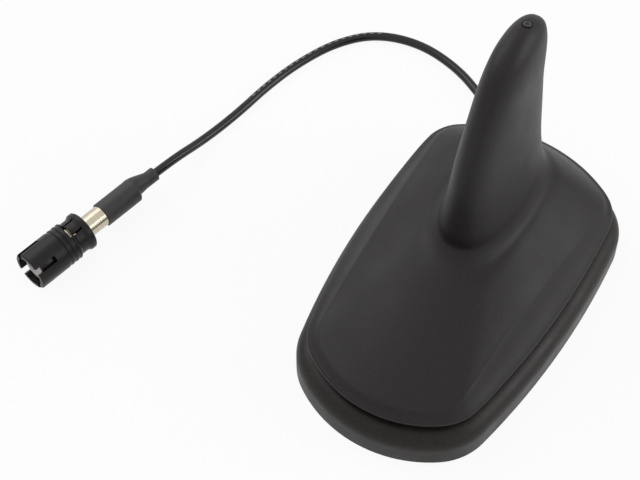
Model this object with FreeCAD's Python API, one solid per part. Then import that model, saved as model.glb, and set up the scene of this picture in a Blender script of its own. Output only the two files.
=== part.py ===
import FreeCAD, Part
import math
import os

from FreeCAD import Vector

# Car roof antenna. X is across the car, -Y is the front, +Z is up, in millimetres.
# The origin is the middle of the gasket's underside, on the roof.

# Plan outline of the gasket, made of tangent arcs
base_length = 113.2
base_width = 70.9
widest_y = 11.0
side_radius = 243.0
front_radius = 39.6
rear_radius = 49.1
front_corner_radius = 19.0
rear_corner_radius = 16.5

# Rubber gasket
skirt_height = 12.2
skirt_edge_round = 5.4
foot_round = 0.6
neck_inset = 5.0
neck_wall = 2.7
pad_thickness = 6.0
lip_inset = 2.6
lip_groove_width = 3.0
lip_groove_depth = 0.8
window_front = -17.0
window_rear = 27.0
window_half_width = 15.0
window_corner = 6.0

# Moulded cover
rim_height = 15.8
rim_inset = 3.1
rim_round = 0.8
cover_wall = 2.4
crease_height_ends = 19.6
crease_height_sides = 25.0
crease_inset_ends = 2.6
crease_inset_sides = 6.9
crease_middle_y = -2.0
crease_half_length = 50.0
crease_fall_power = 1.5
crease_wall_drop = 0.6
dome_crown = 0.16
root_height = 33.5
root_fillet = 2.2

# Fin of the cover
fin_height = 101.0
fin_front_y = -4.7
fin_rear_y = 39.7
fin_front_sweep = 19.2
fin_sweep_power = 2.7
fin_rear_sweep = 4.7
fin_root_half_width = 9.7
fin_tip_half_width = 5.0
fin_flare = 1.9
fin_flare_reach = 20.0
fin_section_power = 2.3
fin_tip_round = 6.6
gate_mark_diameter = 3.2
gate_mark_ring = 0.35
gate_mark_depth = 0.7
gate_mark_back = 2.6

# Cast base plate, with its fits and fasteners
fit_clearance = 0.2
plate_thickness = 3.0
plate_boss_diameter = 24.0
boss_floor_clearance = 0.6
insert_diameter = 9.0
insert_bore = 5.0
insert_flange_diameter = 12.0
insert_flange_thickness = 1.2
cover_screw_x = 19.5
cover_screw_front_y = -22.0
cover_screw_rear_y = 26.0
cover_boss_diameter = 8.0
cover_screw_diameter = 3.0
cover_screw_head = 5.6
cover_screw_head_height = 1.8
cover_screw_grip = 8.0
screw_pad_height = 2.0
screw_slot_width = 0.8
screw_slot_depth = 0.7

# Amplifier board and the radiator blade that stands on it
board_width = 29.0
board_front = -30.0
board_rear = 36.0
board_thickness = 1.6
post_height = 4.0
post_diameter = 6.0
board_screw_edge = 4.0
board_screw_diameter = 2.5
board_screw_head = 4.4
board_screw_head_height = 1.6
board_screw_length = 6.0
can_length = 17.0
can_width = 20.0
can_height = 6.0
can_wall = 0.5
can_gap_to_blade = 4.0
chip_size = 5.0
chip_height = 1.2
blade_thickness = 1.6
blade_wall_gap = 1.2
blade_tip_drop = 9.0
strip_thickness = 0.3
strip_width = 2.0
strip_pitch = 6.0
strip_edge = 2.5

# Cable, its exit and its plug
cable_diameter = 2.8
grommet_diameter = 4.6
grommet_length = 4.0
gland_width = 8.0
gland_room_length = 17.0
channel_width = 6.0
channel_height = 4.6
channel_length = 28.0
feed_wire_diameter = 1.0
plug_mouth = Vector(-110.6, -60.8, 0.0)
plug_heading = 76.6
sleeve_diameter = 12.5
sleeve_length = 21.4
sleeve_bore = 9.7
sleeve_neck_diameter = 11.2
sleeve_neck_length = 3.6
flange_length = 2.0
grip_groove_count = 3
grip_groove_pitch = 1.7
grip_groove_width = 0.7
grip_groove_depth = 0.4
mouth_slot_count = 4
mouth_slot_length = 7.2
mouth_slot_width = 2.0
sleeve_end_wall = 4.4
window_length = 4.6
window_width = 4.8
tongue_length = 3.7
tongue_width = 3.6
barrel_diameter = 6.8
barrel_head_length = 9.4
barrel_head_wall = 0.8
barrel_tail_length = 14.0
barrel_in_boot = 2.4
barrel_bore = 2.0
insulator_length = 6.0
bead_diameter = 8.6
bead_length = 0.8
bead_recess = 3.0
stem_diameter = 3.2
contact_diameter = 1.8
contact_bore = 0.9
contact_length = 12.0
ferrule_diameter = 6.0
ferrule_length = 6.0
boot_wall = 0.5
boot_length = 21.5
boot_step_at = 13.3
boot_step_wall_side = 30.0
boot_tail_diameter = 6.4
boot_end_diameter = 3.8
boot_grip = 4.0
cable_straight = 7.0
plug_clearance = 0.05
cable_arc_share = 0.45

# Route of the cable's middle line from the gland to the plug, chosen by hand
cable_floor = 1.45
cable_exit_z = 2.9
cable_route = [
    Vector(11.0, 38.7, cable_exit_z),
    Vector(7.0, 45.6, 2.8),
    Vector(-3.0, 54.0, 2.4),
    Vector(-14.8, 61.4, 1.8),
    Vector(-28.2, 68.8, cable_floor),
    Vector(-40.8, 75.3, cable_floor),
    Vector(-56.4, 78.0, cable_floor),
    Vector(-70.6, 74.0, cable_floor),
    Vector(-80.0, 64.1, cable_floor),
    Vector(-86.1, 50.5, cable_floor),
    Vector(-89.6, 37.4, cable_floor),
    Vector(-91.8, 23.4, cable_floor),
    Vector(-94.8, 9.2, 2.2),
]

# Places of the cover's loft sections, as shares of each stretch and angles of each rounding
outline_sample_turn = 15.0
outline_sample_run = 12.0
rim_turns = (30, 60)
flank_shares = (0.0, 0.45, 0.86, 0.97)
dome_shares = (0.03, 0.12, 0.35, 0.6, 0.8, 0.91)
fin_shares = (0.0, 0.06, 0.14, 0.3, 0.5, 0.75, 1.0)
tip_turns = (22, 42, 58, 71, 81)

os.makedirs("parts", exist_ok=True)

plate_bottom = pad_thickness
plate_top = plate_bottom + plate_thickness
board_bottom = plate_top + post_height
board_top = board_bottom + board_thickness
boss_bottom = boss_floor_clearance
plate_inset = neck_inset + neck_wall + fit_clearance
screw_pad_top = plate_top + screw_pad_height
cover_screw_places = [
    Vector(side * cover_screw_x, y, 0)
    for y in (cover_screw_front_y, cover_screw_rear_y)
    for side in (-1, 1)
]
board_screw_places = [
    Vector(side * (board_width / 2 - board_screw_edge), y, 0)
    for y in (board_front + board_screw_edge, board_rear - board_screw_edge)
    for side in (-1, 1)
]


def circles_meet(first, first_radius, second, second_radius, way):
    """The meeting point of two circles that lies further along y (1) or against it (-1)."""
    span = second - first
    gap = span.Length
    along = (first_radius ** 2 - second_radius ** 2 + gap ** 2) / (2 * gap)
    across = math.sqrt(first_radius ** 2 - along ** 2)
    middle = first + span * (along / gap)
    sideways = Vector(-span.y, span.x, 0) * (across / gap)
    return max(middle + sideways, middle - sideways, key=lambda point: way * point.y)


def heading(start, end):
    return math.atan2(end.y - start.y, end.x - start.x)


side_centre = Vector(base_width / 2 - side_radius, widest_y, 0)
front_centre = Vector(0, front_radius - base_length / 2, 0)
rear_centre = Vector(0, base_length / 2 - rear_radius, 0)
front_corner = circles_meet(side_centre, side_radius - front_corner_radius,
                            front_centre, front_radius - front_corner_radius, -1)
rear_corner = circles_meet(side_centre, side_radius - rear_corner_radius,
                           rear_centre, rear_radius - rear_corner_radius, 1)
front_turn = heading(front_centre, front_corner)
side_start = heading(side_centre, front_corner)
side_end = heading(side_centre, rear_corner)
rear_turn = heading(rear_centre, rear_corner)

# Right half of the outline, front to rear: centre, radius, first and last angle
half_arcs = [
    (front_centre, front_radius, -math.pi / 2, front_turn),
    (front_corner, front_corner_radius, front_turn, side_start),
    (side_centre, side_radius, side_start, side_end),
    (rear_corner, rear_corner_radius, side_end, rear_turn),
    (rear_centre, rear_radius, rear_turn, math.pi / 2),
]


def polar(centre, radius, angle, z=0.0):
    return Vector(centre.x + radius * math.cos(angle), centre.y + radius * math.sin(angle), z)


def mirrored(point):
    return Vector(-point.x, point.y, point.z)


def outline_face(inset, z):
    """The plan outline moved inwards, as a flat face of tangent arcs."""
    edges = []
    for centre, radius, first, last in half_arcs:
        ends = [polar(centre, radius - inset, first + (last - first) * k / 2, z) for k in range(3)]
        if centre.x == 0:
            tangent_end = max(ends, key=lambda point: point.x)
            middle_end = min(ends, key=lambda point: point.x)
            edges.append(Part.Arc(mirrored(tangent_end), middle_end, tangent_end).toShape())
        else:
            edges.append(Part.Arc(*ends).toShape())
            edges.append(Part.Arc(*[mirrored(point) for point in ends]).toShape())
    return Part.Face(Part.Wire(Part.__sortEdges__(edges)))


def outline_prism(inset, z, height):
    return outline_face(inset, z).extrude(Vector(0, 0, height))


def outline_rays():
    """Places round the outline, each with the centre, radius and angle that an inset needs."""
    rays = []
    for centre, radius, first, last in half_arcs:
        turn = abs(last - first)
        samples = round(math.degrees(turn) / outline_sample_turn + radius * turn / outline_sample_run)
        for k in range(samples):
            rays.append((centre, radius, first + (last - first) * k / samples, 1))
    last_centre, last_radius = half_arcs[-1][0], half_arcs[-1][1]
    left = [(centre, radius, angle, -1) for centre, radius, angle, side in rays[:0:-1]]
    return rays + [(last_centre, last_radius, math.pi / 2, 1)] + left


outline_places = outline_rays()


def outline_point(place, inset, z):
    centre, radius, angle, side = place
    point = polar(centre, radius - inset, angle, z)
    return point if side > 0 else mirrored(point)


outline_points = [outline_point(place, rim_inset, 0) for place in outline_places]
outline_lengths = [0.0]
for start, end in zip(outline_points, outline_points[1:] + outline_points[:1]):
    outline_lengths.append(outline_lengths[-1] + (end - start).Length)


def closed_section(points):
    curve = Part.BSplineCurve()
    curve.interpolate(Points=points, PeriodicFlag=True, Parameters=outline_lengths)
    return Part.Wire(curve.toShape())


def signed_power(value, power):
    return math.copysign(abs(value) ** power, value)


def fin_section(z, grow=0.0, scale=1.0):
    """Points of the fin's section at a height, grown sideways or scaled about its middle."""
    rise = (z - root_height) / (fin_height - root_height)
    front = fin_front_y + fin_front_sweep * max(rise, 0.0) ** fin_sweep_power
    rear = fin_rear_y - fin_rear_sweep * rise
    half_width = fin_root_half_width + (fin_tip_half_width - fin_root_half_width) * rise
    flare = fin_flare * max(0.0, 1 - max(z - root_height, 0.0) / fin_flare_reach) ** 2
    middle = (front + rear) / 2
    points = []
    for place in outline_points:
        angle = math.atan2(place.y / base_length, place.x / base_width)
        across = signed_power(math.cos(angle), 2 / fin_section_power)
        along = signed_power(math.sin(angle), 2 / fin_section_power)
        x = (half_width + flare + grow) * scale * across
        y = middle + ((rear - front) / 2 + flare / 2 + grow) * scale * along
        points.append(Vector(x, y, z))
    return points


def crease_share(place):
    """1 at the middle of the cover's sides, falling to 0 at its front and rear ends."""
    reach = (outline_point(place, rim_inset, 0).y - crease_middle_y) / crease_half_length
    return max(0.0, 1 - reach * reach) ** crease_fall_power


def cover_section(rise, wall):
    """Section of the flank from the rim (0) to the crease (1), moved in by the wall."""
    points = []
    for place in outline_places:
        share = crease_share(place)
        inset = crease_inset_ends + (crease_inset_sides - crease_inset_ends) * share
        height = crease_height_ends + (crease_height_sides - crease_height_ends) * share
        z = rim_height + rim_round + (height - rim_height - rim_round - crease_wall_drop * wall) * rise
        points.append(outline_point(place, rim_inset + wall + inset * rise, z))
    return points


def dome_section(share, wall):
    """Section of the dome from the crease (0) to the fin's root (1), crowned between."""
    crowned = share * (1 + dome_crown * (1 - share))
    crease = cover_section(1.0, wall)
    root = fin_section(root_height - wall, -wall)
    points = []
    for low, high in zip(crease, root):
        point = low + (high - low) * share
        points.append(Vector(point.x, point.y, low.z + (high.z - low.z) * crowned))
    return points


def cover_body(wall):
    """The cover's outer form, or with a wall the form of the hollow inside it."""
    rim_low = rim_height if wall == 0 else rim_height - rim_round
    rim_shrink = rim_round if wall == 0 else 0.0
    sections = [[outline_point(place, rim_inset + wall + rim_shrink, rim_low) for place in outline_places]]
    if wall == 0:
        for angle in rim_turns:
            turn = math.radians(angle)
            inset = rim_inset + rim_round * (1 - math.sin(turn))
            z = rim_height + rim_round * (1 - math.cos(turn))
            sections.append([outline_point(place, inset, z) for place in outline_places])
    sections += [cover_section(rise, wall) for rise in flank_shares]
    sections += [dome_section(share, wall) for share in dome_shares]
    straight_top = fin_height - fin_tip_round
    straight_low = root_height + root_fillet
    for share in fin_shares:
        sections.append(fin_section(straight_low + (straight_top - straight_low) * share, -wall))
    for turn in tip_turns:
        angle = math.radians(turn)
        z = straight_top + (fin_tip_round - wall) * math.sin(angle)
        sections.append(fin_section(z, -wall, math.cos(angle)))
    return Part.makeLoft([closed_section(points) for points in sections], True, False)


def cylinder(radius, place, z, height):
    return Part.makeCylinder(radius, height, Vector(place.x, place.y, z), Vector(0, 0, 1))


def box(x0, x1, y0, y1, z0, z1):
    return Part.makeBox(x1 - x0, y1 - y0, z1 - z0, Vector(x0, y0, z0))


def joined(first, others):
    return first.fuse(others).removeSplitter()


def save(name, shape):
    shape.exportStep("parts/" + name + ".step")


# Cover: dome and fin are one moulding, hollow, with four screw bosses inside
outer = cover_body(0.0)
hollow = cover_body(cover_wall)
cover = outer.cut(hollow)
bosses = [
    cylinder(cover_boss_diameter / 2, place, screw_pad_top, root_height).common(outer)
    for place in cover_screw_places
]
cover = cover.fuse(bosses)
pilots = [
    cylinder(cover_screw_diameter / 2, place, screw_pad_top, cover_screw_grip)
    for place in cover_screw_places
]
cover = cover.cut(pilots)
tip_ends = [point.y for point in fin_section(fin_height)]
tip = Vector(0, (min(tip_ends) + max(tip_ends)) / 2 + gate_mark_back, 0)
gate_bottom = fin_height - gate_mark_depth
gate_ring = cylinder(gate_mark_diameter / 2, tip, gate_bottom, fin_tip_round).cut(
    cylinder(gate_mark_diameter / 2 - gate_mark_ring, tip, gate_bottom, fin_tip_round))
cover = cover.cut(gate_ring)
save("radome_cover", cover)


# Gasket: skirt with a rounded shoulder, neck under the cover's rim, pad under the plate
def edges_at(shape, z):
    flat = []
    for edge in shape.Edges:
        if abs(edge.BoundBox.ZMin - z) + abs(edge.BoundBox.ZMax - z) < 1e-4:
            flat.append(edge)
    return flat


gland_place = cable_route[0]
cable_way = (cable_route[1] - gland_place).normalize()


def along_run(start, end, width, first, length, z0, z1):
    """A block along a run of the cable, from a distance past the run's start."""
    block = box(first, first + length, -width / 2, width / 2, z0, z1)
    block.rotate(Vector(0, 0, 0), Vector(0, 0, 1), math.degrees(heading(start, end)))
    block.translate(Vector(start.x, start.y, 0))
    return block


skirt = outline_prism(0.0, 0.0, skirt_height)
skirt = skirt.makeFillet(skirt_edge_round, edges_at(skirt, skirt_height))
skirt = skirt.makeFillet(foot_round, edges_at(skirt, 0.0))
neck = outline_prism(neck_inset, skirt_height, rim_height - skirt_height)
gasket = skirt.fuse(neck)
gasket = gasket.cut(outline_prism(neck_inset + neck_wall, plate_bottom, rim_height))
lip_groove = outline_prism(lip_inset, 0.0, lip_groove_depth).cut(
    outline_prism(lip_inset + lip_groove_width, 0.0, lip_groove_depth))
window = box(-window_half_width, window_half_width, window_front, window_rear, 0.0, plate_bottom)
upright = [edge for edge in window.Edges if edge.BoundBox.ZLength > pad_thickness / 2]
window = window.makeFillet(window_corner, upright)
exit_run, channel_run = cable_route[0:2], cable_route[1:3]
gland_room = along_run(*exit_run, gland_width + 2 * fit_clearance, -gland_room_length,
                       gland_room_length + fit_clearance, 0.0, plate_bottom)
channel = [
    along_run(*exit_run, channel_width, 0.0, (exit_run[1] - exit_run[0]).Length + channel_width / 4,
              0.0, channel_height),
    along_run(*channel_run, channel_width, 0.0, channel_length, 0.0, channel_height),
]
gasket = gasket.cut([lip_groove, window, gland_room] + channel)
save("base_gasket", gasket)

# Base plate: cast, with the roof-bolt boss and the cable's gland below, posts and pads above
plate = outline_prism(plate_inset, plate_bottom, plate_thickness)
origin = Vector(0, 0, 0)
roof_boss = cylinder(plate_boss_diameter / 2, origin, boss_bottom, plate_bottom - boss_bottom)
gland = along_run(*exit_run, gland_width, -grommet_length, grommet_length, boss_bottom, plate_bottom)
posts = [cylinder(post_diameter / 2, place, plate_top, post_height) for place in board_screw_places]
pads = [
    cylinder(cover_boss_diameter / 2, place, plate_top, screw_pad_height) for place in cover_screw_places
]
plate = joined(plate, [roof_boss, gland] + posts + pads)
cuts = [
    cylinder(insert_diameter / 2, origin, boss_bottom, plate_top),
    cylinder(insert_flange_diameter / 2, origin, plate_top - insert_flange_thickness, plate_thickness),
    Part.makeCylinder(grommet_diameter / 2, grommet_length * 3, gland_place - cable_way * grommet_length * 2,
                      cable_way),
]
for place in cover_screw_places:
    cuts.append(cylinder(cover_screw_diameter / 2 + fit_clearance, place, plate_bottom, screw_pad_top))
    cuts.append(cylinder(cover_screw_head / 2 + fit_clearance, place, plate_bottom, cover_screw_head_height))
for place in board_screw_places:
    cuts.append(cylinder(board_screw_diameter / 2, place, board_top - board_screw_length, board_screw_length))
wire_place = gland_place - cable_way * (grommet_length + feed_wire_diameter)
cuts.append(cylinder(feed_wire_diameter, wire_place, plate_bottom, plate_thickness))
plate = plate.cut(cuts)
save("base_plate", plate)

# Insert: brass bush with a flange, pressed in from above for the roof bolt
flange_bottom = plate_top - insert_flange_thickness
insert_flange = cylinder(insert_flange_diameter / 2, origin, flange_bottom, insert_flange_thickness)
insert = joined(cylinder(insert_diameter / 2, origin, boss_bottom, plate_top - boss_bottom), [insert_flange])
insert = insert.cut(cylinder(insert_bore / 2, origin, boss_bottom, plate_top))
save("threaded_insert", insert)


def slotted_screw(place, head_z, head_diameter, head_height, shank_diameter, length, up):
    """A screw whose shank goes up (1) or down (-1) from the underside of its head."""
    direction = Vector(0, 0, up)
    seat = Vector(place.x, place.y, head_z)
    head = Part.makeCylinder(head_diameter / 2, head_height, seat, -direction)
    shank = Part.makeCylinder(shank_diameter / 2, length, seat, direction)
    slot_z = head_z - up * head_height
    slot = box(place.x - head_diameter, place.x + head_diameter, place.y - screw_slot_width / 2,
               place.y + screw_slot_width / 2, slot_z - screw_slot_depth, slot_z + screw_slot_depth)
    return joined(head, [shank]).cut(slot)


cover_screw_seat = plate_bottom + cover_screw_head_height
cover_screw_length = screw_pad_top + cover_screw_grip - fit_clearance - cover_screw_seat
save("cover_screws", Part.makeCompound([
    slotted_screw(place, cover_screw_seat, cover_screw_head, cover_screw_head_height, cover_screw_diameter,
                  cover_screw_length, 1)
    for place in cover_screw_places]))

# Amplifier board on the plate's posts
board = box(-board_width / 2, board_width / 2, board_front, board_rear, board_bottom, board_top)
board_corners = [edge for edge in board.Edges if edge.BoundBox.ZLength > board_thickness / 2]
board = board.makeFillet(board_screw_edge / 2, board_corners)
board = board.cut([
    cylinder(board_screw_diameter / 2 + fit_clearance, place, board_bottom, board_thickness)
    for place in board_screw_places])
board = board.cut(cylinder(feed_wire_diameter / 2, wire_place, board_bottom, board_thickness))
save("amplifier_board", board)
save("board_screws", Part.makeCompound([
    slotted_screw(place, board_top, board_screw_head, board_screw_head_height, board_screw_diameter,
                  board_screw_length, -1)
    for place in board_screw_places]))

# Radiator: an upright board blade in the fin with a copper meander on its right side
fin_inside_grow = -(cover_wall + blade_wall_gap)
blade_top = fin_height - fin_tip_round - blade_tip_drop


def fin_edges(z):
    """Front and rear y of the room inside the fin at a height."""
    section = [point.y for point in fin_section(max(z, root_height), fin_inside_grow)]
    return min(section), max(section)


blade_heights = [board_top, root_height]
blade_steps = 6
for k in range(1, blade_steps + 1):
    blade_heights.append(root_height + (blade_top - root_height) * k / blade_steps)
blade_front = [Vector(-blade_thickness / 2, fin_edges(z)[0], z) for z in blade_heights]
blade_rear = [Vector(-blade_thickness / 2, fin_edges(z)[1], z) for z in blade_heights]
board_reach = board_rear - board_screw_edge * 2
blade_rear[0].y = board_reach
blade_rear[1].y = board_reach
blade_edge = [
    Part.makePolygon([blade_front[0], blade_front[1]]),
    Part.Wire(Part.BSplineCurve(blade_front[1:]).toShape()),
    Part.makePolygon([blade_front[-1], blade_rear[-1]]),
    Part.makePolygon([blade_rear[-1], blade_rear[1], blade_rear[0], blade_front[0]]),
]
blade = Part.Face(Part.Wire(blade_edge)).extrude(Vector(blade_thickness, 0, 0))
save("radiator_board", blade)

strip_pieces = []
strip_x = blade_thickness / 2
strip_low = board_top
runs = int((blade_top - strip_edge - root_height) / strip_pitch)
for k in range(runs + 1):
    z = root_height + strip_pitch * k
    front = max(fin_edges(z)[0], fin_edges(root_height)[0]) + strip_edge
    rear = min(fin_edges(z + strip_pitch)[1], board_reach) - strip_edge
    strip_pieces.append(box(strip_x, strip_x + strip_thickness, front, rear, z, z + strip_width))
    if k > 0:
        turn_y = front if k % 2 else rear - strip_width
        strip_pieces.append(box(strip_x, strip_x + strip_thickness, turn_y, turn_y + strip_width,
                                z - strip_pitch, z + strip_width))
foot_y = min(fin_edges(root_height + strip_pitch)[1], board_reach) - strip_edge - strip_width
strip_pieces.append(box(strip_x, strip_x + strip_thickness, foot_y, foot_y + strip_width, strip_low,
                        root_height + strip_width))
save("radiator_strip", joined(strip_pieces[0], strip_pieces[1:]))

# Shield can and small parts on the board, in front of the blade
can_rear = fin_edges(root_height)[0] - can_gap_to_blade
can_front = can_rear - can_length
can = box(-can_width / 2, can_width / 2, can_front, can_rear, board_top, board_top + can_height)
can = can.cut(box(-can_width / 2 + can_wall, can_width / 2 - can_wall, can_front + can_wall,
                  can_rear - can_wall, board_top, board_top + can_height - can_wall))
save("shield_can", can)
chip_places = [
    (-board_width / 4, fin_edges(root_height)[0] + chip_size),
    (board_width / 4, fin_edges(root_height)[0] + chip_size * 2),
    (-board_width / 4, fin_edges(root_height)[0] + chip_size * 4),
]
save("board_components", Part.makeCompound([
    box(x - chip_size / 2, x + chip_size / 2, y - chip_size / 2, y + chip_size / 2, board_top,
        board_top + chip_height)
    for x, y in chip_places]))

# Cable gland: a rubber bush in the plate's gland block, and the inner wire up to the board
grommet_start = gland_place - cable_way * grommet_length
grommet = Part.makeCylinder(grommet_diameter / 2, grommet_length, grommet_start, cable_way)
grommet = grommet.cut(Part.makeCylinder(cable_diameter / 2, grommet_length, grommet_start, cable_way))
save("cable_grommet", grommet)
wire_bottom = gland_place.z - feed_wire_diameter / 2
wire = cylinder(feed_wire_diameter / 2, wire_place, wire_bottom, board_top - wire_bottom)
wire_lead = Part.makeCylinder(feed_wire_diameter / 2, feed_wire_diameter,
                              grommet_start - cable_way * feed_wire_diameter, cable_way)
save("feed_wire", joined(wire, [wire_lead]))

# Plug: built along its own axis from the mouth to the cable, then laid on the floor
plug_axis = Vector(math.cos(math.radians(plug_heading)), math.sin(math.radians(plug_heading)), 0)
plug_side = Vector(0, 0, 1).cross(plug_axis)
plug_height = sleeve_diameter / 2
plug_matrix = FreeCAD.Matrix(
    plug_side.x, 0, plug_axis.x, plug_mouth.x,
    plug_side.y, 0, plug_axis.y, plug_mouth.y,
    0, 1, 0, plug_height,
    0, 0, 0, 1)


def place_plug(shape):
    return shape.transformed(plug_matrix)


def turned(profile):
    """A solid of revolution about the plug's axis from (radius, distance) pairs."""
    points = [Vector(radius, 0, along) for radius, along in profile]
    face = Part.Face(Part.makePolygon(points + points[:1]))
    return face.revolve(Vector(0, 0, 0), Vector(0, 0, 1), 360)


sleeve_radius = sleeve_diameter / 2
neck_radius = sleeve_neck_diameter / 2
flange_start = sleeve_length - flange_length
neck_start = flange_start - sleeve_neck_length
edge = grip_groove_depth
profile = [(sleeve_radius - edge, 0), (sleeve_radius, edge)]
first_groove = neck_start - grip_groove_pitch * grip_groove_count
for k in range(grip_groove_count):
    low = first_groove + grip_groove_pitch * k
    profile += [
        (sleeve_radius, low), (sleeve_radius - edge, low + edge / 2),
        (sleeve_radius - edge, low + grip_groove_width), (sleeve_radius, low + grip_groove_width + edge)]
profile += [
    (sleeve_radius, neck_start - edge), (neck_radius, neck_start + edge),
    (neck_radius, flange_start - 2 * edge), (neck_radius + edge / 2, flange_start - edge),
    (sleeve_radius, flange_start + edge), (sleeve_radius, sleeve_length - edge),
    (sleeve_radius - edge, sleeve_length)]
tail_radius = barrel_diameter / 2 + plug_clearance
shoulder = sleeve_length - sleeve_end_wall
profile += [
    (tail_radius, sleeve_length), (tail_radius, shoulder), (sleeve_bore / 2, shoulder), (sleeve_bore / 2, 0)]
sleeve = turned(profile)
slot_cuts = []
for k in range(mouth_slot_count):
    slot = box(0, sleeve_diameter, -mouth_slot_width / 2, mouth_slot_width / 2, -edge, mouth_slot_length)
    slot.rotate(Vector(0, 0, 0), Vector(0, 0, 1), 360 / mouth_slot_count * (k + 0.5))
    slot_cuts.append(slot)
window_end = flange_start
window_cut = box(-window_width / 2, window_width / 2, 0, sleeve_diameter, window_end - window_length,
                 window_end)
tongue = box(-tongue_width / 2, tongue_width / 2, 0, sleeve_diameter, window_end - tongue_length, window_end)
sleeve = sleeve.cut(slot_cuts + [window_cut.cut(tongue)])
save("locking_sleeve", place_plug(sleeve))

head_radius = sleeve_bore / 2 - plug_clearance
head_start = shoulder - barrel_head_length
head_bore = head_radius - barrel_head_wall
barrel_end = sleeve_length + barrel_tail_length - sleeve_end_wall
insulator_end = head_start + insulator_length
bead_end = bead_recess + bead_length
barrel = turned([
    (head_bore, head_start), (head_radius, head_start), (head_radius, shoulder),
    (barrel_diameter / 2, shoulder), (barrel_diameter / 2, barrel_end), (barrel_bore / 2, barrel_end),
    (barrel_bore / 2, insulator_end), (head_bore, insulator_end)])
save("plug_barrel", place_plug(barrel))
insulator = turned([
    (contact_diameter / 2, bead_recess), (bead_diameter / 2, bead_recess), (bead_diameter / 2, bead_end),
    (stem_diameter / 2, bead_end), (stem_diameter / 2, head_start), (head_bore, head_start),
    (head_bore, insulator_end), (contact_diameter / 2, insulator_end)])
save("plug_insulator", place_plug(insulator))
contact_end = bead_recess + contact_length
contact = turned([
    (contact_bore / 2, bead_recess), (contact_diameter / 2, bead_recess), (contact_diameter / 2, contact_end),
    (0, contact_end), (0, bead_end), (contact_bore / 2, bead_end)])
save("centre_contact", place_plug(contact))

# Ferrule behind the barrel and the heat-shrink boot over both
ferrule_end = barrel_end + ferrule_length
ferrule = turned([
    (barrel_bore / 2, barrel_end), (ferrule_diameter / 2, barrel_end), (ferrule_diameter / 2, ferrule_end),
    (barrel_bore / 2, ferrule_end)])
save("crimp_ferrule", place_plug(ferrule))
boot_start = barrel_end - barrel_in_boot
boot_end = boot_start + boot_length
boot_radius = barrel_diameter / 2 + boot_wall
boot = turned([
    (0, boot_start), (boot_radius, boot_start), (boot_radius, boot_start + boot_step_at - boot_wall),
    (boot_radius - boot_wall, boot_start + boot_step_at), (0, boot_start + boot_step_at)])
lean = math.radians(boot_step_wall_side)
lean_way = Vector(math.cos(lean), math.sin(lean), 0)


def boot_ring(radius, lean_by, along):
    centre = lean_way * lean_by + Vector(0, 0, along)
    return Part.Wire(Part.makeCircle(radius, centre, Vector(0, 0, 1)))


tail_start = boot_start + boot_step_at - boot_wall * 4
tail_lean = boot_radius - boot_tail_diameter / 2
tail_middle = (boot_tail_diameter + boot_end_diameter) / 4
tail = Part.makeLoft([
    boot_ring(boot_tail_diameter / 2, tail_lean, tail_start),
    boot_ring(boot_tail_diameter / 2, tail_lean, tail_start + boot_wall * 4),
    boot_ring(tail_middle, tail_lean / 2, (tail_start + boot_end) / 2 + boot_wall),
    boot_ring(boot_end_diameter / 2, 0, boot_end)], True, False)
boot = boot.fuse(tail)
boot = boot.cut(turned([
    (0, boot_start), (barrel_diameter / 2, boot_start), (barrel_diameter / 2, barrel_end),
    (ferrule_diameter / 2, barrel_end), (ferrule_diameter / 2, ferrule_end), (0, ferrule_end)]))
cable_end = boot_end - boot_grip
boot = boot.cut(turned([
    (0, cable_end), (cable_diameter / 2, cable_end), (cable_diameter / 2, boot_end), (0, boot_end)]))
save("heat_shrink_boot", place_plug(boot))

# Cable: a tube along the route, from the grommet's inner end to its seat in the boot
plug_seat = plug_mouth + Vector(0, 0, plug_height)
cable_points = [grommet_start] + cable_route[1:] + [
    plug_seat + plug_axis * (boot_end + cable_straight), plug_seat + plug_axis * cable_end]


def cable_line(points):
    """Straight runs joined by tangent arcs, with the radii of the arcs."""
    edges = []
    radii = []
    start = points[0]
    for before, corner, after in zip(points, points[1:], points[2:]):
        inward = (before - corner).normalize()
        outward = (after - corner).normalize()
        half_turn = (math.pi - inward.getAngle(outward)) / 2
        reach = cable_arc_share * min((before - corner).Length, (after - corner).Length)
        radius = reach / math.tan(half_turn)
        bisector = (inward + outward).normalize()
        middle = corner + bisector * (radius / math.cos(half_turn) - radius)
        first = corner + inward * reach
        last = corner + outward * reach
        edges.append(Part.LineSegment(start, first).toShape())
        edges.append(Part.Arc(first, middle, last).toShape())
        radii.append(radius)
        start = last
    edges.append(Part.LineSegment(start, points[-1]).toShape())
    return Part.Wire(edges), radii


cable_path, bend_radii = cable_line(cable_points)
first_way = (cable_points[1] - cable_points[0]).normalize()
cable_ring = Part.Wire(Part.makeCircle(cable_diameter / 2, cable_points[0], first_way))
cable = cable_path.makePipeShell([cable_ring], True, False)
save("coax_cable", cable)
print("bend radii, mm:", [round(radius, 1) for radius in bend_radii])
print("cable length, mm:", round(cable_path.Length, 1))
print("cable volume against section times length:",
      round(cable.Volume / (math.pi * cable_diameter ** 2 / 4 * cable_path.Length), 4))
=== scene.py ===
import math

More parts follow.
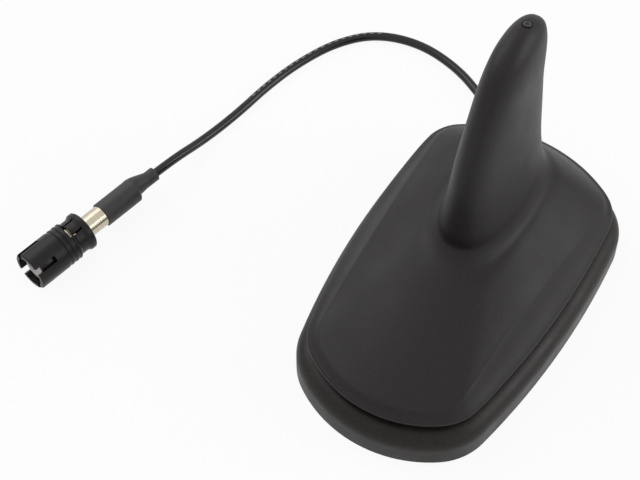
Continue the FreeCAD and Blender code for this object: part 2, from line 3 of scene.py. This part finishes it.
import bpy
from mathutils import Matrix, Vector


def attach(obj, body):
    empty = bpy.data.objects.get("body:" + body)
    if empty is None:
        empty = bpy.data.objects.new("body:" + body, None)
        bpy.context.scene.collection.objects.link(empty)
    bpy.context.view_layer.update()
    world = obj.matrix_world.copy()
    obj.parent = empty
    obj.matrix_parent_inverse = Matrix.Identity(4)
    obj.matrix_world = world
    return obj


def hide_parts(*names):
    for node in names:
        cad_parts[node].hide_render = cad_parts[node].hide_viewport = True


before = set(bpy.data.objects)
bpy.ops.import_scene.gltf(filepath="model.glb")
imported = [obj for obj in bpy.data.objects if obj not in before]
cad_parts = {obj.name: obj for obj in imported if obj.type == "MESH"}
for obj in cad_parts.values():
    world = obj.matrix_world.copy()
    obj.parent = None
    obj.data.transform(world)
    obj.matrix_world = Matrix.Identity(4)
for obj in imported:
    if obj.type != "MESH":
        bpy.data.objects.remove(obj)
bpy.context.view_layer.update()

# Moulded cover: dome and fin in one ABS moulding, black in the mass, with a fine
# spark-eroded grain from the tool. Four screws from below hold it to the base plate.
# The real grain is about 0.15 mm and too fine to show, so it is drawn at 0.5 mm.
MM = 0.001


def linear(code):
    """An sRGB hex colour as linear RGBA."""
    parts = [int(code[i:i + 2], 16) / 255 for i in (1, 3, 5)]
    return tuple(p / 12.92 if p <= 0.04045 else ((p + 0.055) / 1.055) ** 2.4 for p in parts) + (1.0,)


def add_node(tree, kind, values=None, links=None, **settings):
    """Adds a node, sets its properties and sockets, and links sockets from other nodes."""
    node = tree.nodes.new(kind)
    for name, value in settings.items():
        setattr(node, name, value)
    for name, value in (values or {}).items():
        node.inputs[name].default_value = value
    for name, source in (links or {}).items():
        tree.links.new(source, node.inputs[name])
    return node


def new_material(name):
    """An empty node material with its output, for one finish."""
    material = bpy.data.materials.new(name)
    material.use_nodes = True
    material.node_tree.nodes.clear()
    return material, material.node_tree


def finish(tree, shader):
    """Links a shader to the material's surface."""
    output = add_node(tree, "ShaderNodeOutputMaterial")
    tree.links.new(shader.outputs[0], output.inputs["Surface"])


def dress(node, material):
    """Gives a CAD node one finish in all its slots."""
    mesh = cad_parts[node].data
    mesh.materials.clear()
    mesh.materials.append(material)


grain_size = 0.5 * MM
grain_depth = 0.06 * MM
cloud_size = 14 * MM
cover_abs, tree = new_material("moulded_abs_spark_grain")
place = add_node(tree, "ShaderNodeTexCoord").outputs["Object"]
grain = add_node(tree, "ShaderNodeTexNoise", {"Scale": 1 / grain_size, "Detail": 3.0, "Roughness": 0.65},
                 {"Vector": place})
cloud = add_node(tree, "ShaderNodeTexNoise", {"Scale": 1 / cloud_size, "Detail": 2.0}, {"Vector": place})
tone = add_node(tree, "ShaderNodeValToRGB", links={"Fac": grain.outputs["Fac"]})
tone.color_ramp.elements[0].position = 0.30
tone.color_ramp.elements[0].color = linear("#110e0e")
tone.color_ramp.elements[1].position = 0.72
tone.color_ramp.elements[1].color = linear("#1f1a1a")
sheen = add_node(tree, "ShaderNodeMapRange",
                 {"From Min": 0.3, "From Max": 0.7, "To Min": 0.46, "To Max": 0.54},
                 {"Value": cloud.outputs["Fac"]})
bump = add_node(tree, "ShaderNodeBump", {"Strength": 0.5, "Distance": grain_depth},
                {"Height": grain.outputs["Fac"]})
shader = add_node(tree, "ShaderNodeBsdfPrincipled", {"IOR": 1.36},
                  {"Base Color": tone.outputs["Color"], "Roughness": sheen.outputs["Result"],
                   "Normal": bump.outputs["Normal"]})
finish(tree, shader)
dress("radome_cover", cover_abs)

# Gate mark: the low bead of plastic that is left at the fin's tip where the moulding was
# fed. It is part of the cover; its torn skin is smoother, and its paler tone is painted highlight.
bead_place = Vector((0, 27.4 * MM, 100.70 * MM))
bead_tilt = math.radians(-9.5)
bead_radius = 0.8 * MM
bead_thickness = 0.38 * MM
bead_flatness = 0.5
skin_patch = 0.6 * MM
bpy.ops.object.select_all(action="DESELECT")
bpy.ops.mesh.primitive_torus_add(
    major_segments=48, minor_segments=12, major_radius=bead_radius, minor_radius=bead_thickness)
bead = bpy.context.object
bead.name = "gate_bead"
bpy.ops.object.mode_set(mode="EDIT")
bpy.ops.mesh.select_all(action="SELECT")
bpy.ops.transform.resize(value=(1, 1, bead_flatness), center_override=(0, 0, 0))
bpy.ops.object.mode_set(mode="OBJECT")
bead.location = bead_place
bead.rotation_euler = (bead_tilt, 0, 0)
bpy.ops.object.transform_apply(location=True, rotation=True, scale=True)
bpy.ops.object.shade_smooth()
gate_highlight_abs, tree = new_material("gate_abs_painted_highlight")
place = add_node(tree, "ShaderNodeTexCoord").outputs["Object"]
patches = add_node(tree, "ShaderNodeTexNoise", {"Scale": 1 / skin_patch, "Detail": 2.0}, {"Vector": place})
# The bead's paler tone is painted highlight, lighter than the cover's own black.
tone = add_node(tree, "ShaderNodeValToRGB", links={"Fac": patches.outputs["Fac"]})
tone.color_ramp.elements[0].color = linear("#2a2726")
tone.color_ramp.elements[1].color = linear("#3a3634")
shader = add_node(tree, "ShaderNodeBsdfPrincipled", {"Roughness": 0.4, "IOR": 1.45},
                  {"Base Color": tone.outputs["Color"]})
finish(tree, shader)
bead.data.materials.append(gate_highlight_abs)
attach(bead, "root")

# Base gasket: a moulded rubber skirt and pad that seals the cover to the roof, with
# a groove under the cover's rim. The plate and cover clamp its neck between them.
# Bloom and pores make it matt, warm and speckled. The pores are drawn coarse, to show.
bloom_size = 9 * MM
pore_size = 0.9 * MM
pore_depth = 0.08 * MM
bloom_share = 0.5
gasket_rubber, tree = new_material("moulded_epdm_rubber")
place = add_node(tree, "ShaderNodeTexCoord").outputs["Object"]
bloom = add_node(tree, "ShaderNodeTexNoise", {"Scale": 1 / bloom_size, "Detail": 4.0}, {"Vector": place})
pores = add_node(tree, "ShaderNodeTexNoise", {"Scale": 1 / pore_size, "Detail": 3.0}, {"Vector": place})
speckle = add_node(tree, "ShaderNodeMath", {1: bloom_share},
                   {0: bloom.outputs["Fac"], 2: pores.outputs["Fac"]}, operation="MULTIPLY_ADD")
tone = add_node(tree, "ShaderNodeValToRGB", links={"Fac": speckle.outputs[0]})
tone.color_ramp.elements[0].position = 0.55
tone.color_ramp.elements[0].color = linear("#120f0e")
tone.color_ramp.elements[1].position = 0.95
tone.color_ramp.elements[1].color = linear("#221d1a")
sheen = add_node(tree, "ShaderNodeMapRange",
                 {"From Min": 0.3, "From Max": 0.7, "To Min": 0.40, "To Max": 0.52},
                 {"Value": bloom.outputs["Fac"]})
bump = add_node(tree, "ShaderNodeBump", {"Strength": 0.4, "Distance": pore_depth},
                {"Height": pores.outputs["Fac"]})
shader = add_node(tree, "ShaderNodeBsdfPrincipled", {"IOR": 1.34},
                  {"Base Color": tone.outputs["Color"], "Roughness": sheen.outputs["Result"],
                   "Normal": bump.outputs["Normal"]})
finish(tree, shader)
dress("base_gasket", gasket_rubber)
dress("cable_grommet", gasket_rubber)

# Base plate: a zinc die casting inside the gasket, as cast, with a dull skin.
# It carries the roof bolt's insert, the cover's screws and the board.
skin_size = 3 * MM
skin_depth = 0.1 * MM
cast_zinc, tree = new_material("die_cast_zinc")
place = add_node(tree, "ShaderNodeTexCoord").outputs["Object"]
skin = add_node(tree, "ShaderNodeTexNoise", {"Scale": 1 / skin_size, "Detail": 5.0}, {"Vector": place})
tone = add_node(tree, "ShaderNodeValToRGB", links={"Fac": skin.outputs["Fac"]})
tone.color_ramp.elements[0].color = linear("#8d8e91")
tone.color_ramp.elements[1].color = linear("#b4b5b7")
bump = add_node(tree, "ShaderNodeBump", {"Strength": 0.2, "Distance": skin_depth},
                {"Height": skin.outputs["Fac"]})
shader = add_node(tree, "ShaderNodeBsdfPrincipled", {"Metallic": 1.0, "Roughness": 0.48},
                  {"Base Color": tone.outputs["Color"], "Normal": bump.outputs["Normal"]})
finish(tree, shader)
dress("base_plate", cast_zinc)


# Turned and plated fittings: the brass insert and contact, zinc-plated screws, and the
# nickel-plated plug barrel and ferrule. Fine rings from the turning tool cross them.
def turned_metal(name, dark, light, roughness, axis, ring_pitch):
    """A turned metal whose tool rings lie across an axis of the part."""
    material, tree = new_material(name)
    place = add_node(tree, "ShaderNodeTexCoord").outputs["Object"]
    along = add_node(tree, "ShaderNodeVectorMath", {1: axis}, {0: place}, operation="DOT_PRODUCT")
    rings = add_node(tree, "ShaderNodeTexNoise", {"Scale": 1 / ring_pitch, "Detail": 2.0},
                     {"W": along.outputs["Value"]}, noise_dimensions="1D")
    tone = add_node(tree, "ShaderNodeValToRGB", links={"Fac": rings.outputs["Fac"]})
    tone.color_ramp.elements[0].position = 0.3
    tone.color_ramp.elements[0].color = linear(dark)
    tone.color_ramp.elements[1].position = 0.7
    tone.color_ramp.elements[1].color = linear(light)
    smoother = 0.85 * roughness
    rougher = 1.15 * roughness
    polish = add_node(tree, "ShaderNodeMapRange",
                      {"From Min": 0.3, "From Max": 0.7, "To Min": smoother, "To Max": rougher},
                      {"Value": rings.outputs["Fac"]})
    shader = add_node(tree, "ShaderNodeBsdfPrincipled", {"Metallic": 1.0},
                      {"Base Color": tone.outputs["Color"], "Roughness": polish.outputs["Result"]})
    finish(tree, shader)
    return material


plug_heading = math.radians(76.6)
plug_axis = Vector((math.cos(plug_heading), math.sin(plug_heading), 0))
turned_brass = turned_metal("turned_brass", "#a98442", "#c9a564", 0.28, (0, 0, 1), 0.4 * MM)
plated_steel = turned_metal("zinc_plated_steel", "#8b8d90", "#b3b5b8", 0.35, (0, 0, 1), 0.4 * MM)
plated_nickel = turned_metal("nickel_plated_brass", "#bdb4a1", "#c6bdab", 0.22, plug_axis, 0.5 * MM)
dress("threaded_insert", turned_brass)
dress("centre_contact", turned_brass)
dress("cover_screws", plated_steel)
dress("board_screws", plated_steel)
dress("plug_barrel", plated_nickel)
dress("crimp_ferrule", plated_nickel)

# Boards inside the cover: glass-fibre laminate under green solder mask, with a copper
# meander, a tinned shield can and moulded chips, all soldered. The weave shows faintly
# through the glossy mask, and the chips are dull.
weave_pitch = 0.6 * MM
filler_size = 0.3 * MM
solder_mask, tree = new_material("green_solder_mask_on_glass_laminate")
place = add_node(tree, "ShaderNodeTexCoord").outputs["Object"]
weave = add_node(tree, "ShaderNodeTexChecker", {"Scale": 1 / weave_pitch}, {"Vector": place})
weave.inputs["Color1"].default_value = linear("#1f5a33")
weave.inputs["Color2"].default_value = linear("#236039")
shader = add_node(tree, "ShaderNodeBsdfPrincipled", {"Roughness": 0.35, "IOR": 1.5},
                  {"Base Color": weave.outputs["Color"]})
finish(tree, shader)
dress("amplifier_board", solder_mask)
dress("radiator_board", solder_mask)
etched_copper = turned_metal("etched_copper_foil", "#b0693f", "#c98557", 0.35, (0, 1, 0), 0.8 * MM)
tinned_sheet = turned_metal("rolled_tin_plate", "#a9aaa8", "#c4c5c2", 0.30, (1, 0, 0), 0.8 * MM)
dress("radiator_strip", etched_copper)
dress("feed_wire", etched_copper)
dress("shield_can", tinned_sheet)
chip_resin, tree = new_material("moulded_epoxy_chip")
place = add_node(tree, "ShaderNodeTexCoord").outputs["Object"]
filler = add_node(tree, "ShaderNodeTexNoise", {"Scale": 1 / filler_size}, {"Vector": place})
tone = add_node(tree, "ShaderNodeValToRGB", links={"Fac": filler.outputs["Fac"]})
tone.color_ramp.elements[0].color = linear("#1d1d1f")
tone.color_ramp.elements[1].color = linear("#2b2b2d")
shader = add_node(tree, "ShaderNodeBsdfPrincipled", {"Roughness": 0.6},
                  {"Base Color": tone.outputs["Color"]})
finish(tree, shader)
dress("board_components", chip_resin)

# Heat-shrink boot: a polyolefin tube shrunk over the ferrule and the cable, matt and a
# little wrinkled, with a step where it leaves the ferrule.
wrinkle_size = 1.6 * MM
wrinkle_depth = 0.12 * MM
boot_shrink, tree = new_material("shrunk_polyolefin_tube")
place = add_node(tree, "ShaderNodeTexCoord").outputs["Object"]
wrinkle = add_node(tree, "ShaderNodeTexNoise", {"Scale": 1 / wrinkle_size, "Detail": 3.0},
                   {"Vector": place})
tone = add_node(tree, "ShaderNodeValToRGB", links={"Fac": wrinkle.outputs["Fac"]})
tone.color_ramp.elements[0].color = linear("#1c1c1e")
tone.color_ramp.elements[1].color = linear("#2a2a2c")
bump = add_node(tree, "ShaderNodeBump", {"Strength": 0.2, "Distance": wrinkle_depth},
                {"Height": wrinkle.outputs["Fac"]})
shader = add_node(tree, "ShaderNodeBsdfPrincipled", {"Roughness": 0.5, "IOR": 1.5},
                  {"Base Color": tone.outputs["Color"], "Normal": bump.outputs["Normal"]})
finish(tree, shader)
dress("heat_shrink_boot", boot_shrink)


# Boot's tail: the last stretch of the same shrunk tube, where it grips the bare cable.
# It is cut square and stands a little wider than the cable, with a hole for the jacket.
def select_facing(piece, way):
    """Opens a piece in edit mode with only the faces selected that look one way."""
    bpy.ops.object.mode_set(mode="EDIT")
    bpy.ops.mesh.select_all(action="DESELECT")
    bpy.ops.object.mode_set(mode="OBJECT")
    for face in piece.data.polygons:
        face.select = face.normal.dot(way) > 0.9
    bpy.ops.object.mode_set(mode="EDIT")


def round_edges(piece, width):
    """Rounds a piece's sharp edges and smooths its curved faces."""
    bevel = piece.modifiers.new("rounded_edges", "BEVEL")
    bevel.width = width
    bevel.segments = 2
    bevel.limit_method = "ANGLE"
    bpy.ops.object.modifier_apply(modifier=bevel.name)
    bpy.ops.object.shade_smooth_by_angle()


round_sides = 64
plug_mouth = Vector((-110.6 * MM, -60.8 * MM, 6.25 * MM))
tail_start = 45.4 * MM
tail_end = 50.2 * MM
tail_start_radius = 2.2 * MM
tail_end_radius = 2.25 * MM
jacket_hole = 1.42 * MM
hole_depth = 3.0 * MM
cut_edge_round = 0.12 * MM
bpy.ops.object.select_all(action="DESELECT")
bpy.ops.mesh.primitive_cone_add(
    vertices=round_sides, radius1=tail_start_radius, radius2=tail_end_radius,
    depth=tail_end - tail_start, location=plug_mouth + plug_axis * (tail_start + tail_end) / 2,
    rotation=plug_axis.to_track_quat("Z", "Y").to_euler())
tail = bpy.context.object
tail.name = "boot_tail"
bpy.ops.object.transform_apply(location=True, rotation=True, scale=True)
select_facing(tail, plug_axis)
bpy.ops.mesh.inset(thickness=tail_end_radius - jacket_hole)
bpy.ops.mesh.extrude_region_move(TRANSFORM_OT_translate={"value": -plug_axis * hole_depth})
bpy.ops.object.mode_set(mode="OBJECT")
round_edges(tail, cut_edge_round)
tail.data.materials.append(boot_shrink)
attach(tail, "root")

# Locking sleeve: black moulded nylon with four mouth slots, grip grooves and a latch
# tongue in its window. It is snapped over the barrel's shoulder, and its satin skin shows
# faint flow marks.
flow_size = 2.5 * MM
flow_depth = 0.08 * MM
sleeve_nylon, tree = new_material("moulded_nylon_satin")
place = add_node(tree, "ShaderNodeTexCoord").outputs["Object"]
flow = add_node(tree, "ShaderNodeTexNoise", {"Scale": 1 / flow_size, "Detail": 4.0}, {"Vector": place})
tone = add_node(tree, "ShaderNodeValToRGB", links={"Fac": flow.outputs["Fac"]})
tone.color_ramp.elements[0].color = linear("#0f0d0d")
tone.color_ramp.elements[1].color = linear("#181514")
bump = add_node(tree, "ShaderNodeBump", {"Strength": 0.12, "Distance": flow_depth},
                {"Height": flow.outputs["Fac"]})
shader = add_node(tree, "ShaderNodeBsdfPrincipled", {"Roughness": 0.36, "IOR": 1.33},
                  {"Base Color": tone.outputs["Color"], "Normal": bump.outputs["Normal"]})
finish(tree, shader)
dress("locking_sleeve", sleeve_nylon)

# Insulator: a whitish moulded disc that carries the centre contact in the plug's mouth.
# Its stem is pressed into the barrel's head, and its skin is matt and a little cloudy.
mottle_size = 1.2 * MM
dielectric, tree = new_material("moulded_white_dielectric")
place = add_node(tree, "ShaderNodeTexCoord").outputs["Object"]
mottle = add_node(tree, "ShaderNodeTexNoise", {"Scale": 1 / mottle_size, "Detail": 3.0}, {"Vector": place})
tone = add_node(tree, "ShaderNodeValToRGB", links={"Fac": mottle.outputs["Fac"]})
tone.color_ramp.elements[0].color = linear("#c2bcb8")
tone.color_ramp.elements[1].color = linear("#dcd8d4")
shader = add_node(tree, "ShaderNodeBsdfPrincipled", {"Roughness": 0.5, "IOR": 1.46},
                  {"Base Color": tone.outputs["Color"]})
finish(tree, shader)
dress("plug_insulator", dielectric)

# Insulator's nose: a shallow moulded collar of the same dielectric on the disc's face,
# dished towards the contact's hole and rounded at its rim. It is one moulding with the disc.
nose_front = 1.8 * MM
nose_back = 3.0 * MM
nose_radius = 4.3 * MM
nose_dish = 0.4 * MM
nose_rim = 0.9 * MM
hole_radius = 1.0 * MM
nose_edge_round = 0.15 * MM
nose_middle = plug_mouth + plug_axis * (nose_front + nose_back) / 2
bpy.ops.object.select_all(action="DESELECT")
bpy.ops.mesh.primitive_cylinder_add(
    vertices=round_sides, radius=nose_radius, depth=nose_back - nose_front, location=nose_middle,
    rotation=(-plug_axis).to_track_quat("Z", "Y").to_euler())
nose = bpy.context.object
nose.name = "insulator_nose"
bpy.ops.object.transform_apply(location=True, rotation=True, scale=True)
select_facing(nose, -plug_axis)
bpy.ops.mesh.inset(thickness=nose_rim)
bpy.ops.mesh.inset(thickness=nose_dish)
bpy.ops.transform.translate(value=plug_axis * nose_dish)
bpy.ops.mesh.inset(thickness=nose_radius - nose_rim - nose_dish - hole_radius)
bpy.ops.mesh.extrude_region_move(TRANSFORM_OT_translate={"value": plug_axis * nose_dish})
bpy.ops.object.mode_set(mode="OBJECT")
round_edges(nose, nose_edge_round)
nose.data.materials.append(dielectric)
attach(nose, "root")

# Retaining collar: a thin black nylon tube pressed into the sleeve's bore around the
# disc. It holds the insulator in place and closes the floor of the mouth slots.
collar_front = 2.1 * MM
collar_back = 7.2 * MM
collar_radius = 4.8 * MM
collar_wall = 0.45 * MM
collar_edge_round = 0.1 * MM
collar_middle = plug_mouth + plug_axis * (collar_front + collar_back) / 2
bpy.ops.object.select_all(action="DESELECT")
bpy.ops.mesh.primitive_cylinder_add(
    vertices=round_sides, radius=collar_radius, depth=collar_back - collar_front,
    end_fill_type="NOTHING",
    location=collar_middle, rotation=(-plug_axis).to_track_quat("Z", "Y").to_euler())
collar = bpy.context.object
collar.name = "retaining_collar"
bpy.ops.object.transform_apply(location=True, rotation=True, scale=True)
wall = collar.modifiers.new("collar_wall", "SOLIDIFY")
wall.thickness = collar_wall
wall.offset = -1.0
bpy.ops.object.modifier_apply(modifier=wall.name)
round_edges(collar, collar_edge_round)
collar.data.materials.append(sleeve_nylon)
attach(collar, "root")

# Coax pigtail: a thin black PVC cable that leaves the gland under the rear of the base,
# lies in one loose bend on the floor and rises to the plug. Its extruded skin has a soft
# gloss, and pale printed ticks mark it. The route is in millimetres.
cable_diameter = 2.8 * MM
cable_length = 195.1 * MM
cable_floor = 1.45
cable_route = [
    (12.99, 35.23, 2.95),
    (7.0, 45.6, 2.8),
    (-3.0, 54.0, 2.4),
    (-14.8, 61.4, 1.8),
    (-28.2, 68.8, cable_floor),
    (-40.8, 75.3, cable_floor),
    (-56.4, 78.0, cable_floor),
    (-70.6, 74.0, cable_floor),
    (-80.0, 64.1, cable_floor),
    (-86.1, 50.5, cable_floor),
    (-89.6, 37.4, cable_floor),
    (-91.8, 23.4, cable_floor),
    (-94.8, 9.2, 2.2),
    (-97.37, -5.25, 6.25),
    (-99.92, -15.96, 6.25),
]
curve = bpy.data.curves.new("coax_jacket", "CURVE")
curve.dimensions = "3D"
curve.bevel_depth = cable_diameter / 2
curve.bevel_resolution = 6
curve.use_fill_caps = True
spline = curve.splines.new("NURBS")
spline.points.add(len(cable_route) - 1)
for point, (x, y, z) in zip(spline.points, cable_route):
    point.co = (x * MM, y * MM, z * MM, 1.0)
spline.order_u = 3
spline.use_endpoint_u = True
spline.resolution_u = 16
jacket = bpy.data.objects.new("coax_jacket", curve)
bpy.context.collection.objects.link(jacket)

ripple_size = 6 * MM
ripple_depth = 0.1 * MM
cable_pvc, tree = new_material("extruded_pvc_jacket")
place = add_node(tree, "ShaderNodeTexCoord").outputs["Object"]
ripple = add_node(tree, "ShaderNodeTexNoise", {"Scale": 1 / ripple_size, "Detail": 2.0}, {"Vector": place})
bump = add_node(tree, "ShaderNodeBump", {"Strength": 0.1, "Distance": ripple_depth},
                {"Height": ripple.outputs["Fac"]})
tone = add_node(tree, "ShaderNodeValToRGB", links={"Fac": ripple.outputs["Fac"]})
tone.color_ramp.elements[0].color = linear("#0d0d0e")
tone.color_ramp.elements[1].color = linear("#161617")
tick_pitch = 2.6 * MM
tick_length = 1.3 * MM
tick_stretch = 56 * MM
tick_middle = 123 * MM
tick_side = 0.225
tick_width = 0.06
surface = add_node(tree, "ShaderNodeSeparateXYZ",
                   links={"Vector": add_node(tree, "ShaderNodeTexCoord").outputs["UV"]})
along = add_node(tree, "ShaderNodeMath", {1: cable_length}, {0: surface.outputs["X"]}, operation="MULTIPLY")
phase = add_node(tree, "ShaderNodeMath", {1: tick_pitch}, {0: along.outputs[0]}, operation="MODULO")
dash = add_node(tree, "ShaderNodeMath", {1: tick_length}, {0: phase.outputs[0]}, operation="LESS_THAN")
stretch = add_node(tree, "ShaderNodeMath", {1: tick_middle, 2: tick_stretch / 2}, {0: along.outputs[0]},
                   operation="COMPARE")
line = add_node(tree, "ShaderNodeMath", {1: tick_side, 2: tick_width / 2}, {0: surface.outputs["Y"]},
                operation="COMPARE")
dashes = add_node(tree, "ShaderNodeMath", links={0: dash.outputs[0], 1: stretch.outputs[0]},
                  operation="MULTIPLY")
ticks = add_node(tree, "ShaderNodeMath", links={0: dashes.outputs[0], 1: line.outputs[0]},
                 operation="MULTIPLY")
jacket_shader = add_node(tree, "ShaderNodeBsdfPrincipled", {"Roughness": 0.26, "IOR": 1.42},
                         {"Base Color": tone.outputs["Color"], "Normal": bump.outputs["Normal"]})
ink_shader = add_node(tree, "ShaderNodeBsdfPrincipled", {"Base Color": linear("#7d8085"), "Roughness": 0.6})
printed = add_node(tree, "ShaderNodeMixShader",
                   links={0: ticks.outputs[0], 1: jacket_shader.outputs[0], 2: ink_shader.outputs[0]})
finish(tree, printed)
curve.materials.append(cable_pvc)
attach(jacket, "root")
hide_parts("coax_cable")


# Studio: a pale floor that reads white to the camera and keeps a faint shadow, a white
# surround, a broad soft light from the left and a smaller one from the right.
def white_share(tree, camera_share):
    """How far camera rays, mirror rays and rays through glass see plain white."""
    rays = add_node(tree, "ShaderNodeLightPath")
    seen = add_node(tree, "ShaderNodeMath", {1: camera_share}, {0: rays.outputs["Is Camera Ray"]},
                    operation="MULTIPLY")
    mirrored = add_node(tree, "ShaderNodeMath",
                        links={0: rays.outputs["Is Glossy Ray"], 1: rays.outputs["Is Transmission Ray"]},
                        operation="MAXIMUM")
    shown = add_node(tree, "ShaderNodeMath", links={0: seen.outputs[0], 1: mirrored.outputs[0]},
                     operation="MAXIMUM")
    return shown.outputs[0]


floor_size = 6.0
floor_white = 0.92
surround_white = 1.0
surround_level = 0.45
bpy.ops.object.select_all(action="DESELECT")
bpy.ops.mesh.primitive_plane_add(size=floor_size, location=(0, 0, 0))
floor = bpy.context.object
floor.name = "studio_floor"
paper, tree = new_material("white_paper_floor")
diffuse = add_node(tree, "ShaderNodeBsdfDiffuse", {"Color": linear("#f2f2f2")})
glow = add_node(tree, "ShaderNodeEmission", {"Strength": 1.0})
mixed = add_node(tree, "ShaderNodeMixShader",
                 links={0: white_share(tree, floor_white), 1: diffuse.outputs[0], 2: glow.outputs[0]})
finish(tree, mixed)
floor.data.materials.append(paper)

world = bpy.data.worlds.new("white_surround")
bpy.context.scene.world = world
world.use_nodes = True
tree = world.node_tree
tree.nodes.clear()
soft = add_node(tree, "ShaderNodeBackground", {"Color": (1, 1, 1, 1), "Strength": surround_level})
white = add_node(tree, "ShaderNodeBackground", {"Color": (1, 1, 1, 1), "Strength": 1.0})
mixed = add_node(tree, "ShaderNodeMixShader",
                 links={0: white_share(tree, surround_white), 1: soft.outputs[0], 2: white.outputs[0]})
output = add_node(tree, "ShaderNodeOutputWorld")
tree.links.new(mixed.outputs[0], output.inputs["Surface"])

look_at = Vector((0, 0, 0.03))
for name, position, width, power in (
        ("left_softbox", (-0.9, 0.1, 0.9), 0.9, 6.0),
        ("right_softbox", (1.0, 0.5, 0.6), 0.7, 6.0)):
    lamp = bpy.data.lights.new(name, "AREA")
    lamp.shape = "SQUARE"
    lamp.size = width
    lamp.energy = power
    holder = bpy.data.objects.new(name, lamp)
    holder.location = position
    holder.rotation_euler = (look_at - Vector(position)).to_track_quat("-Z", "Y").to_euler()
    bpy.context.collection.objects.link(holder)

# Camera: the photograph's view, from the front right and well above, through a long lens.
# Its turn, rise and distance were fitted to the base, the fin and the lying cable.
camera_turn = math.radians(31.5)
camera_rise = math.radians(57.0)
camera_distance = 0.607
camera_target = Vector((-0.0452, -0.0027, 0.0))
focal_pixels = 2000
picture_width = 640
sensor_width = 36.0
level = math.cos(camera_rise)
away = Vector((math.sin(camera_turn) * level, -math.cos(camera_turn) * level, math.sin(camera_rise)))
lens = bpy.data.cameras.new("photo_view")
lens.sensor_width = sensor_width
lens.lens = focal_pixels / picture_width * sensor_width
camera = bpy.data.objects.new("photo_view", lens)
camera.location = camera_target + away * camera_distance
camera.rotation_euler = (-away).to_track_quat("-Z", "Y").to_euler()
bpy.context.collection.objects.link(camera)
bpy.context.scene.camera = camera
bpy.context.scene.view_settings.view_transform = "Standard"
